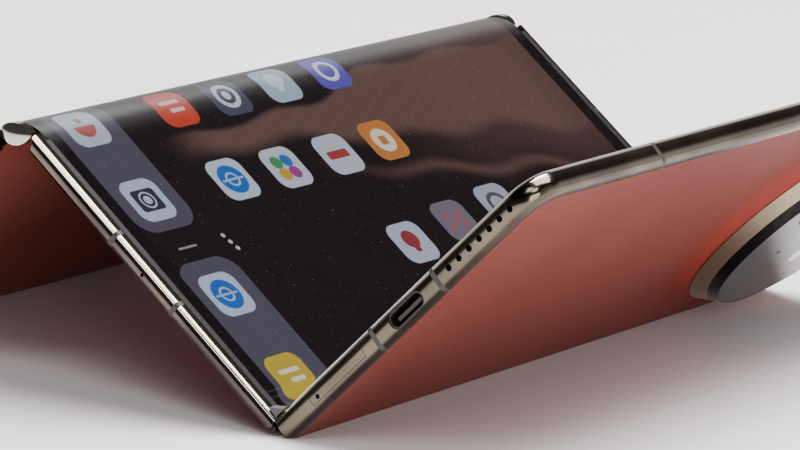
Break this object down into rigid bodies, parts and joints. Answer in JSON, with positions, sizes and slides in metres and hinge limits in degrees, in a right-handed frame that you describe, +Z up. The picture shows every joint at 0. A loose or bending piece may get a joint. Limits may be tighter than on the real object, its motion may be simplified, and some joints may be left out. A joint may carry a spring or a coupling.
{
  "type": "foldable phone",
  "caption": "Tri-fold phone standing as a zigzag: panels on an outward and an inward fold, leather backs, metal rails, round camera block, keys and card tray.",
  "frame": {"origin": "centre of the bounding box's foot, on the table the phone stands on", "axes": "+X from the left panel to the camera panel, +Y along the folds away from the charging socket, +Z up"},
  "size_m": [0.1724, 0.1566, 0.0524],
  "materials": {
    "champagne_metal": "polished",
    "polished_cap": "mirror",
    "coral_leather": "fine grain",
    "display_sheet": "gloss",
    "soft_bezel": "satin",
    "seam_resin": "satin",
    "grey_rubber": "matt",
    "battery_wrap": "matt",
    "hinge_steel": "brushed",
    "board_resin": "matt",
    "dark_metal": "satin",
    "grey_glass": "gloss",
    "lens_black": "gloss",
    "flash_lens": "frosted",
    "black_plastic": "matt"
  },
  "bodies": {
    "middle_panel": {"mid_frame": "champagne_metal", "mid_bezel": "soft_bezel", "display_middle": "display_sheet", "mid_battery": "battery_wrap", "mid_back": "coral_leather", "mid_seams": "seam_resin", "mid_hinge_arms": "hinge_steel"},
    "left_panel": {"left_frame": "champagne_metal", "left_bezel": "soft_bezel", "display_cover": "display_sheet", "left_battery": "battery_wrap", "left_back": "coral_leather", "left_seams": "seam_resin", "selfie_camera": "lens_black", "earpiece": "black_plastic"},
    "camera_panel": {"cam_frame": "champagne_metal", "cam_bezel": "soft_bezel", "display_camera": "display_sheet", "cam_battery": "battery_wrap", "main_board": "board_resin", "cam_back": "coral_leather", "cam_seams": "seam_resin", "usb_c_port": "hinge_steel", "loudspeaker": "black_plastic", "camera_ring": "champagne_metal", "camera_trim": "dark_metal", "camera_glass": "grey_glass", "main_camera": "lens_black", "wide_camera": "lens_black", "tele_camera": "lens_black", "flash_led": "flash_lens", "cam_hinge_arms": "hinge_steel"},
    "link_a": {"link_a": "dark_metal"},
    "link_b": {"link_b": "dark_metal"},
    "outer_spine": {"outer_spine": "dark_metal", "near_end_cap": "polished_cap", "far_end_cap": "polished_cap", "outer_bend": "display_sheet"},
    "inner_spine": {"inner_spine": "dark_metal", "hinge_pins": "hinge_steel", "near_seal": "grey_rubber", "far_seal": "grey_rubber", "inner_bend": "display_sheet"},
    "power_key": {"power_key": "champagne_metal"},
    "volume_key": {"volume_key": "champagne_metal"},
    "sim_tray": {"sim_tray": "champagne_metal"}
  },
  "joints": [
    {"name": "outer_fold", "type": "hinge", "parent": "middle_panel", "child": "link_a", "pos_m": [-0.02397, 0, 0.0484], "axis": [0, -1, 0], "range_deg": [-20.02, 24.98]},
    {"name": "outer_fold_2", "type": "hinge", "parent": "link_a", "child": "outer_spine", "pos_m": [-0.02685, 0, 0.04942], "axis": [0, -1, 0], "range_deg": [-20.03, 24.99], "deforming": ["outer_bend"]},
    {"name": "outer_fold_3", "type": "hinge", "parent": "outer_spine", "child": "link_b", "pos_m": [-0.0299, 0, 0.04939], "axis": [0, -1, 0], "range_deg": [-20.03, 24.99]},
    {"name": "outer_fold_4", "type": "hinge", "parent": "link_b", "child": "left_panel", "pos_m": [-0.03275, 0, 0.04832], "axis": [0, -1, 0], "range_deg": [-20.03, 24.99]},
    {"name": "inner_fold", "type": "hinge", "parent": "middle_panel", "child": "inner_spine", "pos_m": [0.02906, 0, 0.003], "axis": [0, -1, 0], "range_deg": [-41.25, 48.75], "deforming": ["inner_bend", "near_seal", "far_seal"]},
    {"name": "inner_fold_2", "type": "hinge", "parent": "inner_spine", "child": "camera_panel", "pos_m": [0.03206, 0, 0.00309], "axis": [0, -1, 0], "range_deg": [-41.26, 48.76]},
    {"name": "power_press", "type": "slide", "parent": "camera_panel", "child": "power_key", "axis": [-0.7314, 0, -0.682], "range_m": [0, 0.0002], "stiffness_N_per_m": 2000},
    {"name": "volume_press", "type": "slide", "parent": "camera_panel", "child": "volume_key", "axis": [-0.7314, 0, -0.682], "range_m": [0, 0.0002], "stiffness_N_per_m": 2000},
    {"name": "tray_slide", "type": "slide", "parent": "camera_panel", "child": "sim_tray", "axis": [0, -1, 0], "range_m": [0, 0.022]}
  ],
  "couplings": [
    {"joint": "outer_fold_2", "follows": "outer_fold", "ratio": 1},
    {"joint": "outer_fold_3", "follows": "outer_fold", "ratio": 1},
    {"joint": "outer_fold_4", "follows": "outer_fold", "ratio": 1},
    {"joint": "inner_fold_2", "follows": "inner_fold", "ratio": 1}
  ]
}
